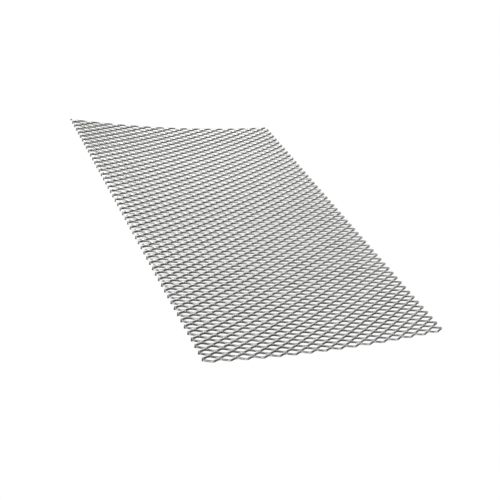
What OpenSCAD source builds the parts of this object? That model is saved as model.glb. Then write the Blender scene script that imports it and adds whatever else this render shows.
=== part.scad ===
// Sheet of raised expanded aluminium mesh, lying with its two long edges bowed up.
// Units are millimetres. +X runs along the long way of the diamonds, +Y along the short way,
// and +Z is up. The origin is on the floor, under the middle of the sheet.

/* [Sheet] */
// Diamonds across the width of the sheet
columns = 16; // [11:1:24]
// Strands along the length of the sheet, two for each row of diamonds
strands = 101; // [41:2:121]
// Rise of the two long edges over the middle of the sheet
bow_rise = 5; // [0.5:0.5:12]

/* [Diamond] */
// Long way of a diamond, from bond centre to bond centre
long_way = 12.5; // [10:0.5:20]
// Depth that the press pushes each strand down, which opens the slits
press_stroke = 2.717; // [2:0.001:4]
// Level length of a bond, where two strands stay joined
bond_length = 1.8; // [1.2:0.1:4]

/* [Strand] */
// Width of a strand, which is the feed between two strokes of the press
strand_width = 1.2; // [0.8:0.1:1.8]
// Thickness of a strand, measured across the plain sheet
gauge = 1; // [0.4:0.1:1.5]

/* [Hidden] */

// Each stroke feeds one strand's width and pushes that strand down, so the strands climb
// like stairs, and the finished sheet is laid level again by the angle of the stairs
step = sqrt(pow(press_stroke, 2) + pow(strand_width, 2));
stair_angle = atan2(press_stroke, strand_width);
half_pitch = long_way / 2;
sheet_width = columns * long_way;
sheet_length = strands * step;

// The tilted bonds reach this far above and below the middle of the level mesh
half_height = strand_width * sin(stair_angle) + gauge / 2 * cos(stair_angle);

// The bow is followed by five straight strips: the centre one is level, and the two on each
// side of it have the slope of the bow at their own middle
side_columns = floor(columns / 5);
centre_columns = columns - 4 * side_columns;
side_width = side_columns * long_way;
centre_width = centre_columns * long_way;
function strip_slope(strip) = strip == 0 ? 0
    : atan(8 * bow_rise * (centre_width / 2 + (strip - 0.5) * side_width) / pow(sheet_width, 2));

// Inner ends of the side strips run on by this much and are cut back to the strip before them
run_on = gauge / 2;

// Outline of one strand along the long way: level at the bonds, sloping between them
module strand_outline(cells, starts_low, lead) {
    function depth(flat) = (flat % 2 == 0) == starts_low ? 0 : press_stroke;
    centre_line = concat(
        [[-lead, depth(0)]],
        [for (flat = [0 : 2 * cells], side = [-1, 1])
            if (flat + side > 0 && flat + side < 2 * cells || flat % (2 * cells) != 0)
                [flat * half_pitch + side * bond_length / 2, depth(flat)]],
        [[cells * long_way, depth(2 * cells)]]
    );
    last = len(centre_line) - 1;
    polygon(concat(
        [for (i = [0 : last]) centre_line[i] + [0, gauge / 2]],
        [for (i = [last : -1 : 0]) centre_line[i] - [0, gauge / 2]]
    ));
}

// A level strip of mesh from x = 0 on, with the middle of its thickness at z = 0
module level_strip(cells, lead = 0) {
    translate([0, -sheet_length / 2, 0])
        rotate([stair_angle - 90, 0, 0])
            for (k = [0 : strands - 1])
                translate([0, k * press_stroke, k * strand_width])
                    linear_extrude(strand_width)
                        strand_outline(cells, k % 2 == 1, lead);
}

// A side strip bent up from the strip before it, with its inner end at x = 0
module bent_strip(bend) {
    difference() {
        rotate([0, -bend, 0]) level_strip(side_columns, run_on);
        translate([-2 * run_on, -sheet_length, -2 * half_height])
            cube([2 * run_on, 2 * sheet_length, 4 * half_height]);
    }
}

module inner_strip() {
    translate([centre_width / 2, 0, half_height])
        bent_strip(strip_slope(1));
}

module outer_strip() {
    translate([centre_width / 2, 0, half_height])
        rotate([0, -strip_slope(1), 0])
            translate([side_width, 0, 0])
                bent_strip(strip_slope(2) - strip_slope(1));
}

module mesh_centre() {
    color("silver") translate([-centre_width / 2, 0, half_height]) level_strip(centre_columns);
}

module mesh_right() {
    color("silver") inner_strip();
}

module mesh_edge_right() {
    color("silver") outer_strip();
}

module mesh_left() {
    color("silver") mirror([1, 0, 0]) inner_strip();
}

module mesh_edge_left() {
    color("silver") mirror([1, 0, 0]) outer_strip();
}

mesh_edge_left();
mesh_left();
mesh_centre();
mesh_right();
mesh_edge_right();
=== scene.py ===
import math

import bpy
from mathutils import Matrix, Vector


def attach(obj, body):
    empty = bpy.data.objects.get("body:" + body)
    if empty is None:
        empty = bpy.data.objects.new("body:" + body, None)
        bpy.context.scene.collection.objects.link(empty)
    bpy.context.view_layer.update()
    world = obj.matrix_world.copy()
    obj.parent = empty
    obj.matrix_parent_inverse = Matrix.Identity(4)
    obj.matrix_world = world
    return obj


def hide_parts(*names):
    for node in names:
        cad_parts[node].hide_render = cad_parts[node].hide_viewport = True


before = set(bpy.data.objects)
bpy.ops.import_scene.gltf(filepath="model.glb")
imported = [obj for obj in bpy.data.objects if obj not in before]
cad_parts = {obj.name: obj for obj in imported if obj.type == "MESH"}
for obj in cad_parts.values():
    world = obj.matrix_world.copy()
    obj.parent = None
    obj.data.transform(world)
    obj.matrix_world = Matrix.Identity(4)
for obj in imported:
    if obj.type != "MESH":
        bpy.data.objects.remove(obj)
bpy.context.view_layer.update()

# the sheet of mesh, in metres; each name here is an input of the node tree
meshSheet = {
    "Sheet Columns": 16.0,  # diamonds across
    "Strands": 101.0,  # two strands to a row of diamonds
    "Long Way": 0.0125,
    "Press Stroke": 0.002717,
    "Strand Width": 0.0012,
    "Gauge": 0.001,
    "Bond Length": 0.0018,
    "Bond Share": 0.84,  # share of the bond length that the double-width bar of a bond covers
    "Bond Swell": 0.00002,  # how much thicker than a strand that bar is, which keeps their faces apart
    "Bend Length": 0.0005,  # how far a bend reaches to each side of a bond's end
    "Edge Rounding": 0.00012,
    "Tip Inset": 0.0006,  # how far inside the right edge the middle of a round tip lies
    "Tip Swell": 0.00001,  # how much thicker than a strand a round tip is
    "Bow Rise": 0.0047,  # rise of the long edges over the middle, as the five straight strips have it
    "Steps per Leg": 8.0,  # points along a strand from one bond to the next
}

# the node of each strip, with its first column from the middle and its number of columns
meshStrips = {
    "mesh_edge_left": (-8, 3),
    "mesh_left": (-5, 3),
    "mesh_centre": (-2, 4),
    "mesh_right": (2, 3),
    "mesh_edge_right": (5, 3),
}

straightOn = 0.9  # a face counts as turned to an axis above this part of its normal
sharpAngle = 35.0  # degrees, above which an edge stays sharp
stretchesPerLeg = 8.0  # a leg is four stretches and their mirror image, see addStrand
columnTolerance = 0.1  # two column numbers this close are the same column


def feed(tree, socket, value):
    if isinstance(value, bpy.types.NodeSocket):
        tree.links.new(value, socket)
    else:
        socket.default_value = value


def addNode(tree, kind, settings=None, **inputs):
    node = tree.nodes.new(kind)
    for name, value in (settings or {}).items():
        setattr(node, name, value)
    for name, value in inputs.items():
        feed(tree, node.inputs[name.replace("_", " ")], value)
    return node


def calc(tree, operation, *values):
    node = tree.nodes.new("ShaderNodeMath")
    node.operation = operation
    for slot, value in enumerate(values):
        feed(tree, node.inputs[slot], value)
    return node.outputs[0]


def between(tree, value, low, high):
    return calc(tree, "MINIMUM", calc(tree, "MAXIMUM", value, low), high)


def smoothRise(tree, value, low, high):
    ramp = addNode(tree, "ShaderNodeMapRange", {"interpolation_type": "SMOOTHSTEP"}, Value=value)
    ramp.inputs["From Min"].default_value = low
    ramp.inputs["From Max"].default_value = high
    return ramp.outputs[0]


def noise(tree, place, scale, **inputs):
    return addNode(tree, "ShaderNodeTexNoise", Vector=place, Scale=scale, **inputs).outputs[0]


def pointAt(tree, x, y, z):
    return addNode(tree, "ShaderNodeCombineXYZ", X=x, Y=y, Z=z).outputs[0]


def partsOf(tree, vector):
    return addNode(tree, "ShaderNodeSeparateXYZ", Vector=vector).outputs


# writes a value onto a geometry under a name that a later node or a finish reads
def keepValue(tree, geometry, kind, domain, name, value):
    store = addNode(tree, "GeometryNodeStoreNamedAttribute", {"data_type": kind, "domain": domain},
                    Geometry=geometry, Name=name)
    feed(tree, store.inputs["Value"], value)
    return store.outputs[0]


# marks the faces turned along or away from one axis as sheared by the knife
def markSheared(tree, geometry, axis, comparison):
    normal = partsOf(tree, addNode(tree, "GeometryNodeInputNormal").outputs[0])
    isSheared = addNode(tree, "FunctionNodeCompare", {"operation": comparison},
                        A=calc(tree, "ABSOLUTE", normal[axis]), B=straightOn)
    return keepValue(tree, geometry, "BOOLEAN", "FACE", "isSheared", isSheared.outputs[0])


# a bar with rounded edges along a line of points, its profile kept for the finishes
def addBar(tree, sizes, line, thickness, height):
    level = addNode(tree, "GeometryNodeSetCurveNormal", {"mode": "Z_UP"}, Curve=line)
    outline = addNode(tree, "GeometryNodeCurvePrimitiveQuadrilateral", Width=thickness, Height=height)
    rounded = addNode(tree, "GeometryNodeFilletCurve", {"mode": "POLY"}, Curve=outline.outputs[0],
                      Radius=sizes["Edge Rounding"], Count=1)
    here = addNode(tree, "GeometryNodeInputPosition").outputs[0]
    profile = keepValue(tree, rounded.outputs[0], "FLOAT_VECTOR", "POINT", "acrossBar", here)
    bar = addNode(tree, "GeometryNodeCurveToMesh", Curve=level.outputs[0], Profile_Curve=profile,
                  Fill_Caps=True)
    return markSheared(tree, bar.outputs[0], 2, "GREATER_THAN")


# one strand: level at its bonds, sloping between them, with a curved bend at each bond's ends
def addStrand(tree, sizes, startsHigh):
    def do(operation, *values):
        return calc(tree, operation, *values)

    bend, stroke = sizes["Bend Length"], sizes["Press Stroke"]
    halfPitch = do("MULTIPLY", sizes["Long Way"], 0.5)
    halfBond = do("MULTIPLY", sizes["Bond Length"], 0.5)
    levelRun = do("SUBTRACT", halfBond, bend)
    slopeRun = do("SUBTRACT", do("MULTIPLY", halfPitch, 0.5), do("ADD", halfBond, bend))
    slope = do("DIVIDE", stroke, do("SUBTRACT", halfPitch, sizes["Bond Length"]))

    legs = do("MULTIPLY", sizes["Columns"], 2.0)
    count = do("ADD", do("MULTIPLY", legs, sizes["Steps per Leg"]), 1.0)
    points = addNode(tree, "GeometryNodeMeshLine", Count=count)
    place = do("DIVIDE", addNode(tree, "GeometryNodeInputIndex").outputs[0], sizes["Steps per Leg"])
    bond = do("ROUND", place)  # number of the nearest bond
    offset = do("SUBTRACT", place, bond)

    # four stretches lead from a bond's middle to the middle of a leg: one level, two bent, one sloping
    stretch = do("MULTIPLY", do("ABSOLUTE", offset), stretchesPerLeg)
    onLevel = do("MULTIPLY", between(tree, stretch, 0.0, 1.0), levelRun)
    onBend = do("MULTIPLY", between(tree, do("SUBTRACT", stretch, 1.0), 0.0, 2.0), bend)
    onSlope = do("MULTIPLY", between(tree, do("SUBTRACT", stretch, 3.0), 0.0, 1.0), slopeRun)
    away = do("ADD", do("ADD", onLevel, onBend), onSlope)
    bendFall = do("MULTIPLY", do("POWER", onBend, 2.0), do("DIVIDE", slope, do("MULTIPLY", bend, 4.0)))
    fall = do("ADD", bendFall, do("MULTIPLY", onSlope, slope))
    isHigh = do("MODULO", do("ADD", bond, 1.0 if startsHigh else 0.0), 2.0)
    depth = do("ADD", do("MULTIPLY", isHigh, do("SUBTRACT", stroke, fall)),
               do("MULTIPLY", do("SUBTRACT", 1.0, isHigh), fall))
    x = do("ADD", do("MULTIPLY", bond, halfPitch), do("MULTIPLY", do("SIGN", offset), away))
    halfWidth = do("MULTIPLY", sizes["Strand Width"], 0.5)
    bent = addNode(tree, "GeometryNodeSetPosition", Geometry=points.outputs[0],
                   Position=pointAt(tree, x, depth, halfWidth))
    line = addNode(tree, "GeometryNodeMeshToCurve", Mesh=bent.outputs[0])
    return addBar(tree, sizes, line.outputs[0], sizes["Gauge"], sizes["Strand Width"])


# a column of points that climbs by one press stroke and one strand's width at each step
def addStairs(tree, sizes, count):
    rise = pointAt(tree, 0.0, sizes["Press Stroke"], sizes["Strand Width"])
    return addNode(tree, "GeometryNodeMeshLine", Count=count, Offset=rise).outputs[0]


# all strands of a strip, the even ones high at whole columns and the odd ones half a column on
def addStrands(tree, sizes, isEven, isOdd):
    stairs = addStairs(tree, sizes, sizes["Strands"])
    placed = []
    for isPicked, startsHigh in ((isEven, True), (isOdd, False)):
        placed.append(addNode(tree, "GeometryNodeInstanceOnPoints", Points=stairs, Selection=isPicked,
                              Instance=addStrand(tree, sizes, startsHigh)))
    chance = addNode(tree, "FunctionNodeRandomValue", {"data_type": "FLOAT"}, Seed=11).outputs["Value"]
    return [keepValue(tree, strands.outputs[0], "FLOAT", "INSTANCE", "strandTone", chance)
            for strands in placed]


# the bonds that join each strand to the next one, a row of them on each stair
def addBonds(tree, sizes, isEven, isOdd):
    stroke, width = sizes["Press Stroke"], sizes["Strand Width"]
    reach = calc(tree, "MULTIPLY", calc(tree, "MULTIPLY", sizes["Bond Length"], sizes["Bond Share"]), 0.5)
    line = addNode(tree, "GeometryNodeCurvePrimitiveLine", End=pointAt(tree, reach, stroke, width),
                   Start=pointAt(tree, calc(tree, "MULTIPLY", reach, -1.0), stroke, width))
    bond = addBar(tree, sizes, line.outputs[0], calc(tree, "ADD", sizes["Gauge"], sizes["Bond Swell"]),
                  calc(tree, "MULTIPLY", width, 2.0))
    stairs = addStairs(tree, sizes, calc(tree, "SUBTRACT", sizes["Strands"], 1.0))
    rows = []
    for isPicked, shift in ((isEven, 0.0), (isOdd, 0.5)):
        start = pointAt(tree, calc(tree, "MULTIPLY", sizes["Long Way"], shift), 0.0, 0.0)
        count = calc(tree, "ADD", sizes["Columns"], 1.0 - 2 * shift)
        along = addNode(tree, "GeometryNodeMeshLine", Count=count, Start_Location=start,
                        Offset=pointAt(tree, sizes["Long Way"], 0.0, 0.0))
        row = addNode(tree, "GeometryNodeInstanceOnPoints", Points=along.outputs[0], Instance=bond)
        rows.append(addNode(tree, "GeometryNodeInstanceOnPoints", Points=stairs, Selection=isPicked,
                            Instance=row.outputs[0]).outputs[0])
    return rows


# a round tip on each bond that the sheet's right edge cuts
def addTips(tree, sizes, stripEnd, isPicked):
    disc = addNode(tree, "GeometryNodeMeshCylinder", Vertices=16, Radius=sizes["Strand Width"],
                   Depth=calc(tree, "ADD", sizes["Gauge"], sizes["Tip Swell"]))
    upright = addNode(tree, "GeometryNodeTransform", Geometry=disc.outputs[0],
                      Translation=pointAt(tree, stripEnd, sizes["Press Stroke"], sizes["Strand Width"]),
                      Rotation=(math.pi / 2, 0.0, 0.0))
    tip = markSheared(tree, upright.outputs[0], 1, "LESS_THAN")
    stairs = addStairs(tree, sizes, calc(tree, "SUBTRACT", sizes["Strands"], 1.0))
    tips = addNode(tree, "GeometryNodeInstanceOnPoints", Points=stairs, Selection=isPicked, Instance=tip)
    return addNode(tree, "GeometryNodeRealizeInstances", Geometry=tips.outputs[0]).outputs[0]


def joinMeshes(tree, parts):
    joined = addNode(tree, "GeometryNodeJoinGeometry")
    for part in parts:
        tree.links.new(part, joined.inputs[0])
    return joined.outputs[0]


# lays the stairs level, with the middle of the sheet at the origin
def layLevel(tree, sizes, solid):
    stroke, width = sizes["Press Stroke"], sizes["Strand Width"]
    lean = calc(tree, "SUBTRACT", calc(tree, "ARCTAN2", stroke, width), math.pi / 2)
    square = calc(tree, "ADD", calc(tree, "POWER", stroke, 2.0), calc(tree, "POWER", width, 2.0))
    length = calc(tree, "MULTIPLY", calc(tree, "SQRT", square), sizes["Strands"])
    left = calc(tree, "MULTIPLY", sizes["First Column"], sizes["Long Way"])
    return addNode(tree, "GeometryNodeTransform", Geometry=solid, Rotation=pointAt(tree, lean, 0.0, 0.0),
                   Translation=pointAt(tree, left, calc(tree, "MULTIPLY", length, -0.5), 0.0)).outputs[0]


# bends the sheet to an arc across its width, keeping its thickness and its width along the arc
def bendToBow(tree, sizes, laid):
    def do(operation, *values):
        return calc(tree, operation, *values)

    halfSheet = do("MULTIPLY", do("MULTIPLY", sizes["Sheet Columns"], sizes["Long Way"]), 0.5)
    radius = do("DIVIDE", do("POWER", halfSheet, 2.0), do("MULTIPLY", sizes["Bow Rise"], 2.0))
    here = partsOf(tree, addNode(tree, "GeometryNodeInputPosition").outputs[0])
    angle = do("DIVIDE", here[0], radius)
    arm = do("SUBTRACT", radius, here[2])
    stairAngle = do("ARCTAN2", sizes["Press Stroke"], sizes["Strand Width"])
    halfHeight = do("ADD", do("MULTIPLY", sizes["Strand Width"], do("SINE", stairAngle)),
                    do("MULTIPLY", do("MULTIPLY", sizes["Gauge"], 0.5), do("COSINE", stairAngle)))
    rise = do("SUBTRACT", radius, do("MULTIPLY", arm, do("COSINE", angle)))
    onArc = pointAt(tree, do("MULTIPLY", arm, do("SINE", angle)), here[1], do("ADD", halfHeight, rise))
    return addNode(tree, "GeometryNodeSetPosition", Geometry=laid, Position=onArc).outputs[0]


# a strip of mesh: strands and bonds climb like stairs, are laid level, and then follow the bow
def buildMeshTree():
    tree = bpy.data.node_groups.new("expandedMesh", "GeometryNodeTree")
    tree.is_modifier = True
    for name, value in {"First Column": -8.0, "Columns": 3.0, **meshSheet}.items():
        socket = tree.interface.new_socket(name, in_out="INPUT", socket_type="NodeSocketFloat")
        socket.default_value = value
    for name in ("Rolled Finish", "Sheared Finish"):
        tree.interface.new_socket(name, in_out="INPUT", socket_type="NodeSocketMaterial")
    tree.interface.new_socket("Geometry", in_out="OUTPUT", socket_type="NodeSocketGeometry")
    sizes = tree.nodes.new("NodeGroupInput").outputs

    isOdd = calc(tree, "MODULO", addNode(tree, "GeometryNodeInputIndex").outputs[0], 2.0)
    isEven = calc(tree, "SUBTRACT", 1.0, isOdd)
    bars = addStrands(tree, sizes, isEven, isOdd) + addBonds(tree, sizes, isEven, isOdd)
    whole = addNode(tree, "GeometryNodeRealizeInstances", Geometry=joinMeshes(tree, bars))

    # a strip ends at the middle of its last bonds, and at the sheet's right edge where its tips begin
    lastColumn = calc(tree, "ADD", sizes["First Column"], sizes["Columns"])
    edgeColumn = calc(tree, "MULTIPLY", sizes["Sheet Columns"], 0.5)
    isRightEdge = calc(tree, "COMPARE", lastColumn, edgeColumn, columnTolerance)
    stripEnd = calc(tree, "SUBTRACT", calc(tree, "MULTIPLY", sizes["Columns"], sizes["Long Way"]),
                    calc(tree, "MULTIPLY", isRightEdge, sizes["Tip Inset"]))
    spot = partsOf(tree, addNode(tree, "GeometryNodeInputPosition").outputs[0])
    trimmed = addNode(tree, "GeometryNodeSetPosition", Geometry=whole.outputs[0],
                      Position=pointAt(tree, between(tree, spot[0], 0.0, stripEnd), spot[1], spot[2]))
    tips = addTips(tree, sizes, stripEnd, calc(tree, "MULTIPLY", isEven, isRightEdge))
    laid = layLevel(tree, sizes, joinMeshes(tree, (trimmed.outputs[0], tips)))

    plain = addNode(tree, "GeometryNodeRealizeInstances", Geometry=bendToBow(tree, sizes, laid))
    rolled = addNode(tree, "GeometryNodeSetMaterial", Geometry=plain.outputs[0],
                     Material=sizes["Rolled Finish"])
    marked = addNode(tree, "GeometryNodeInputNamedAttribute", {"data_type": "BOOLEAN"}, Name="isSheared")
    finished = addNode(tree, "GeometryNodeSetMaterial", Geometry=rolled.outputs[0],
                       Selection=marked.outputs["Attribute"], Material=sizes["Sheared Finish"])
    feed(tree, tree.nodes.new("NodeGroupOutput").inputs[0], finished.outputs[0])
    return tree


# bright mill finish: fine grain across the strands, clouded patches, scuffs, rubbed edges and
# stretched bends; the tones are parts of the colour, and the roughness follows them
meshFinish = {
    "colour": (0.704, 0.699, 0.686, 1.0),
    "rubbedColour": (0.905, 0.9, 0.887, 1.0),
    "grainPerMetre": (8000.0, 900.0, 900.0),
    "patchesPerMetre": 60.0,
    "scuffsPerMetre": 240.0,
    "peelPerMetre": 9000.0,  # orange peel where the metal is stretched
    "breakPerMetre": 1500.0,  # wobble of the line where a sheared face breaks off
    "breakWobble": 0.0006,
    "scuffWidth": 0.014,
    "grainTone": 0.16,
    "patchTone": 0.3,
    "strandTone": 0.12,
    "peelTone": 0.16,
    "scuffTone": 0.06,
    "rubStart": 0.34,  # the rub begins this many widths from the middle of a rolled face
    "rubShare": 0.7,
    "landDepth": 0.25,  # gauges over which a sheared face's bright land fades
    "stretchReach": 1.6,  # bend lengths over which the marks at a bend fade
    "unevenRoughness": 0.7,
    "peelRoughness": 0.2,
    "scuffRoughness": 0.08,
    "rubPolish": 0.06,
    "leastRoughness": 0.08,
    "mostRoughness": 0.8,
    "peelHeight": 1.5,  # heights are in parts of the grain's own
    "scuffDepth": 0.5,
    "reliefDepth": 0.000005,
    "rolledRoughness": 0.2,
    "shearedRoughness": 0.35,
}


def buildMillGrain(finish):
    group = bpy.data.node_groups.new("millGrain", "ShaderNodeTree")

    def do(operation, *values):
        return calc(group, operation, *values)

    inputs = {"Place": "Vector", "Grain": "Vector", "Tone": "Color", "Rubbed Tone": "Color",
              "Patches": "Float", "Scuffs": "Float", "Roughness": "Float", "Rub": "Float",
              "Stretch": "Float", "Strand Tone": "Float"}
    for name, kind in inputs.items():
        group.interface.new_socket(name, in_out="INPUT", socket_type="NodeSocket" + kind)
    for name, kind in {"Colour": "Color", "Roughness": "Float", "Height": "Float"}.items():
        group.interface.new_socket(name, in_out="OUTPUT", socket_type="NodeSocket" + kind)
    given = group.nodes.new("NodeGroupInput").outputs
    made = group.nodes.new("NodeGroupOutput").inputs

    stretched = addNode(group, "ShaderNodeVectorMath", {"operation": "MULTIPLY"})
    feed(group, stretched.inputs[0], given["Place"])
    feed(group, stretched.inputs[1], given["Grain"])
    grain = noise(group, stretched.outputs[0], 1.0, Detail=3.0, Roughness=0.6)
    patches = noise(group, given["Place"], given["Patches"], Detail=2.0)
    wander = noise(group, given["Place"], given["Scuffs"], Detail=1.0, Distortion=0.6)
    scuff = smoothRise(group, do("ABSOLUTE", do("SUBTRACT", wander, 0.5)), finish["scuffWidth"], 0.0)
    peel = do("MULTIPLY", given["Stretch"], noise(group, given["Place"], finish["peelPerMetre"], Detail=1.0))

    uneven = do("ADD", do("MULTIPLY", do("SUBTRACT", grain, 0.5), finish["grainTone"]),
                do("MULTIPLY", do("SUBTRACT", patches, 0.5), finish["patchTone"]))
    strand = do("MULTIPLY", do("SUBTRACT", given["Strand Tone"], 0.5), finish["strandTone"])
    clean = do("ADD", do("ADD", uneven, strand), 1.0)
    worn = do("SUBTRACT", clean, do("ADD", do("MULTIPLY", peel, finish["peelTone"]),
                                    do("MULTIPLY", scuff, finish["scuffTone"])))
    toned = addNode(group, "ShaderNodeVectorMath", {"operation": "SCALE"}, Scale=worn)
    feed(group, toned.inputs[0], given["Tone"])
    colour = addNode(group, "ShaderNodeMix", {"data_type": "RGBA"})  # its colours are inputs 6 and 7
    feed(group, colour.inputs[0], do("MULTIPLY", given["Rub"], finish["rubShare"]))
    feed(group, colour.inputs[6], toned.outputs[0])
    feed(group, colour.inputs[7], given["Rubbed Tone"])
    feed(group, made["Colour"], colour.outputs[2])

    rougher = do("ADD", do("MULTIPLY", uneven, finish["unevenRoughness"]),
                 do("ADD", do("MULTIPLY", peel, finish["peelRoughness"]),
                    do("MULTIPLY", scuff, finish["scuffRoughness"])))
    polish = do("MULTIPLY", given["Rub"], finish["rubPolish"])
    roughness = do("SUBTRACT", do("ADD", given["Roughness"], rougher), polish)
    kept = between(group, roughness, finish["leastRoughness"], finish["mostRoughness"])
    feed(group, made["Roughness"], kept)
    raised = do("ADD", grain, do("MULTIPLY", peel, finish["peelHeight"]))
    feed(group, made["Height"], do("SUBTRACT", raised, do("MULTIPLY", scuff, finish["scuffDepth"])))
    return group


# how near a point is to the bend at the end of a bond, from 0 to 1
def nearBend(tree, along, reach):
    halfPitch = meshSheet["Long Way"] / 2
    shifted = calc(tree, "ADD", along, halfPitch / 2)
    fromBond = calc(tree, "SUBTRACT", calc(tree, "FLOORED_MODULO", shifted, halfPitch), halfPitch / 2)
    fromBend = calc(tree, "SUBTRACT", calc(tree, "ABSOLUTE", fromBond), meshSheet["Bond Length"] / 2)
    return smoothRise(tree, calc(tree, "ABSOLUTE", fromBend), meshSheet["Bend Length"] * reach, 0.0)


# the finish of the rolled faces, or of the sheared ones, which break off dull below a bright land
def makeMetal(name, finish, grainGroup, isSheared):
    metal = bpy.data.materials.new(name)
    metal.use_nodes = True
    tree = metal.node_tree
    shader = tree.nodes["Principled BSDF"]
    shader.inputs["Metallic"].default_value = 1.0
    place = tree.nodes.new("ShaderNodeTexCoord").outputs["Object"]
    kept = {what: addNode(tree, "ShaderNodeAttribute", {"attribute_name": what})
            for what in ("acrossBar", "strandTone")}
    across = partsOf(tree, kept["acrossBar"].outputs["Vector"])
    if isSheared:
        wobble = calc(tree, "SUBTRACT", noise(tree, place, finish["breakPerMetre"], Detail=2.0), 0.5)
        depth = calc(tree, "ADD", across[0], calc(tree, "MULTIPLY", wobble, finish["breakWobble"]))
        rub = smoothRise(tree, depth, 0.0, meshSheet["Gauge"] * finish["landDepth"])
    else:
        width = meshSheet["Strand Width"]
        rub = smoothRise(tree, calc(tree, "ABSOLUTE", across[1]), width * finish["rubStart"], width / 2)
    grain = addNode(tree, "ShaderNodeGroup", {"node_tree": grainGroup}, Place=place, Rub=rub,
                    Stretch=nearBend(tree, partsOf(tree, place)[0], finish["stretchReach"]),
                    Strand_Tone=kept["strandTone"].outputs["Fac"],
                    Roughness=finish["shearedRoughness" if isSheared else "rolledRoughness"],
                    Tone=finish["colour"], Rubbed_Tone=finish["rubbedColour"],
                    Grain=finish["grainPerMetre"], Patches=finish["patchesPerMetre"],
                    Scuffs=finish["scuffsPerMetre"]).outputs
    relief = addNode(tree, "ShaderNodeBump", Height=grain["Height"], Distance=finish["reliefDepth"])
    feed(tree, shader.inputs["Base Color"], grain["Colour"])
    feed(tree, shader.inputs["Roughness"], grain["Roughness"])
    feed(tree, shader.inputs["Normal"], relief.outputs[0])
    return metal


grainGroup = buildMillGrain(meshFinish)
finishes = {
    "Rolled Finish": makeMetal("rolledAluminium", meshFinish, grainGroup, False),
    "Sheared Finish": makeMetal("shearedAluminium", meshFinish, grainGroup, True),
}
print("finishes made")


def makeStrip(nodeName, firstColumn, columns, meshTree):
    carrier = bpy.data.objects.new("carrier", bpy.data.meshes.new("carrier"))
    bpy.context.scene.collection.objects.link(carrier)
    modifier = carrier.modifiers.new("strands", "NODES")
    modifier.node_group = meshTree
    values = {"First Column": float(firstColumn), "Columns": float(columns), **meshSheet, **finishes}
    for item in meshTree.interface.items_tree:
        if item.in_out == "INPUT":
            modifier[item.identifier] = values[item.name]
    bpy.context.view_layer.update()
    strip = bpy.data.meshes.new_from_object(carrier.evaluated_get(bpy.context.evaluated_depsgraph_get()))
    carrier.modifiers.remove(modifier)
    bpy.data.objects.remove(carrier)
    strip.name = nodeName.replace("_", " ").title().replace(" ", "") + "Strands"
    strip.shade_smooth()
    strip.set_sharp_from_angle(angle=math.radians(sharpAngle))
    piece = bpy.data.objects.new(strip.name, strip)
    bpy.context.scene.collection.objects.link(piece)
    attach(piece, "root")
    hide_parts(nodeName)
    strip.calc_loop_triangles()
    print(strip.name, "made,", len(strip.loop_triangles), "triangles")


meshTree = buildMeshTree()
for nodeName, (firstColumn, columns) in meshStrips.items():
    makeStrip(nodeName, firstColumn, columns, meshTree)

# floor and surroundings: pale to the light, and white where the camera looks; the white is added, so
# that the sheet's shadow stays, and whiteInMetal is the share of it that the metal reflects
floorSettings = {"size": 6.0, "paleness": 0.14, "white": 0.95, "whiteInMetal": 0.05}


def whiteShare(tree):
    rays = addNode(tree, "ShaderNodeLightPath").outputs
    seen = calc(tree, "MAXIMUM", rays["Is Camera Ray"], rays["Is Transmission Ray"])
    mirrored = calc(tree, "MULTIPLY", rays["Is Glossy Ray"], floorSettings["whiteInMetal"])
    return calc(tree, "MAXIMUM", seen, mirrored)


def makeFloor(settings):
    half = settings["size"] / 2
    corners = [(-half, -half, 0), (half, -half, 0), (half, half, 0), (-half, half, 0)]
    mesh = bpy.data.meshes.new("floor")
    mesh.from_pydata(corners, [], [(0, 1, 2, 3)])
    floor = bpy.data.objects.new("floor", mesh)
    bpy.context.scene.collection.objects.link(floor)
    material = bpy.data.materials.new("paleFloor")
    material.use_nodes = True
    tree = material.node_tree
    tree.nodes.clear()
    pale = addNode(tree, "ShaderNodeBsdfDiffuse", Color=(*[settings["paleness"]] * 3, 1.0))
    white = addNode(tree, "ShaderNodeEmission", Color=(1.0, 1.0, 1.0, 1.0),
                    Strength=calc(tree, "MULTIPLY", whiteShare(tree), settings["white"]))
    both = tree.nodes.new("ShaderNodeAddShader")
    for slot, shader in enumerate((pale, white)):
        tree.links.new(shader.outputs[0], both.inputs[slot])
    tree.links.new(both.outputs[0], tree.nodes.new("ShaderNodeOutputMaterial").inputs[0])
    mesh.materials.append(material)


makeFloor(floorSettings)
print("floor made")

# light: soft panels round the sheet, each with its middle and half width in degrees and its reach in
# height, where height is the upward part of a direction of length 1
lightPlan = {
    "edge": {"turn": 12.0, "height": 0.035},  # how softly a panel ends
    "panels": {
        "lowFrontLeft": {"middle": -128.0, "halfWidth": 48.0, "from": 0.16, "to": 0.33, "strength": 3.2},
        "front": {"middle": -72.0, "halfWidth": 30.0, "from": -0.1, "to": 0.28, "strength": 0.75},
        "leftHorizon": {"middle": 160.0, "halfWidth": 70.0, "from": -0.2, "to": 0.07, "strength": 0.8},
        "ceiling": {"middle": -45.0, "halfWidth": 80.0, "from": 0.62, "to": 2.0, "strength": 0.9},
        "wholeCeiling": {"middle": 0.0, "halfWidth": 200.0, "from": 0.62, "to": 2.0, "strength": 0.25},
    },
}


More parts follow.
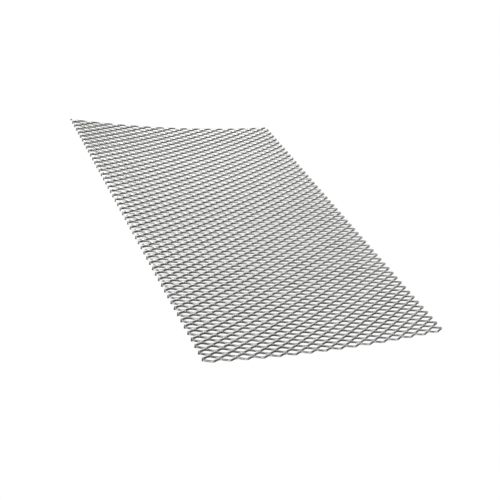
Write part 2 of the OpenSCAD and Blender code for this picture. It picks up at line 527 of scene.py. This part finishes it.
def addPanel(tree, direction, plan, edge):
    def do(operation, *values):
        return calc(tree, operation, *values)

    middle = math.radians(plan["middle"])
    flat = do("SQRT", do("ADD", do("POWER", direction[0], 2.0), do("POWER", direction[1], 2.0)))
    toward = do("ADD", do("MULTIPLY", direction[0], math.cos(middle)),
                do("MULTIPLY", direction[1], math.sin(middle)))
    turn = do("DEGREES", do("ARCCOSINE", do("DIVIDE", toward, do("MAXIMUM", flat, 0.0001))))
    across = smoothRise(tree, turn, plan["halfWidth"] + edge["turn"], plan["halfWidth"] - edge["turn"])
    bottom = smoothRise(tree, direction[2], plan["from"] - edge["height"], plan["from"] + edge["height"])
    top = smoothRise(tree, direction[2], plan["to"] + edge["height"], plan["to"] - edge["height"])
    return do("MULTIPLY", do("MULTIPLY", across, do("MULTIPLY", bottom, top)), plan["strength"])


def makeLight(plans):
    world = bpy.data.worlds.new("paleWorld")
    world.use_nodes = True
    bpy.context.scene.world = world
    tree = world.node_tree
    background = tree.nodes["Background"]
    background.inputs["Color"].default_value = (1.0, 1.0, 1.0, 1.0)
    direction = partsOf(tree, tree.nodes.new("ShaderNodeTexCoord").outputs["Generated"])
    glow = 0.0
    for plan in plans["panels"].values():
        glow = calc(tree, "ADD", glow, addPanel(tree, direction, plan, plans["edge"]))
    shown = addNode(tree, "ShaderNodeMix", {"data_type": "FLOAT"})
    for slot, value in ((0, whiteShare(tree)), (2, glow), (3, 1.0)):
        feed(tree, shown.inputs[slot], value)
    feed(tree, background.inputs["Strength"], shown.outputs[0])


makeLight(lightPlan)
print("lights made")

# camera, from a fit to the photograph's lattice of bonds
cameraPlan = {
    "place": (-0.3120, -0.4332, 0.3232),
    "view": (0.5097, 0.6674, -0.5429),
    "up": (0.0438, 0.6100, 0.7912),
    "lens": 55.4,
}


def makeCamera(plan):
    camera = bpy.data.cameras.new("camera")
    camera.lens = plan["lens"]
    camera.clip_start = 0.01
    cameraObject = bpy.data.objects.new("camera", camera)
    bpy.context.scene.collection.objects.link(cameraObject)
    back = -Vector(plan["view"]).normalized()
    right = Vector(plan["up"]).cross(back).normalized()
    turned = Matrix((right, back.cross(right), back)).transposed().to_4x4()
    cameraObject.matrix_world = Matrix.Translation(plan["place"]) @ turned
    bpy.context.scene.camera = cameraObject


makeCamera(cameraPlan)
bpy.context.scene.view_settings.view_transform = "Standard"
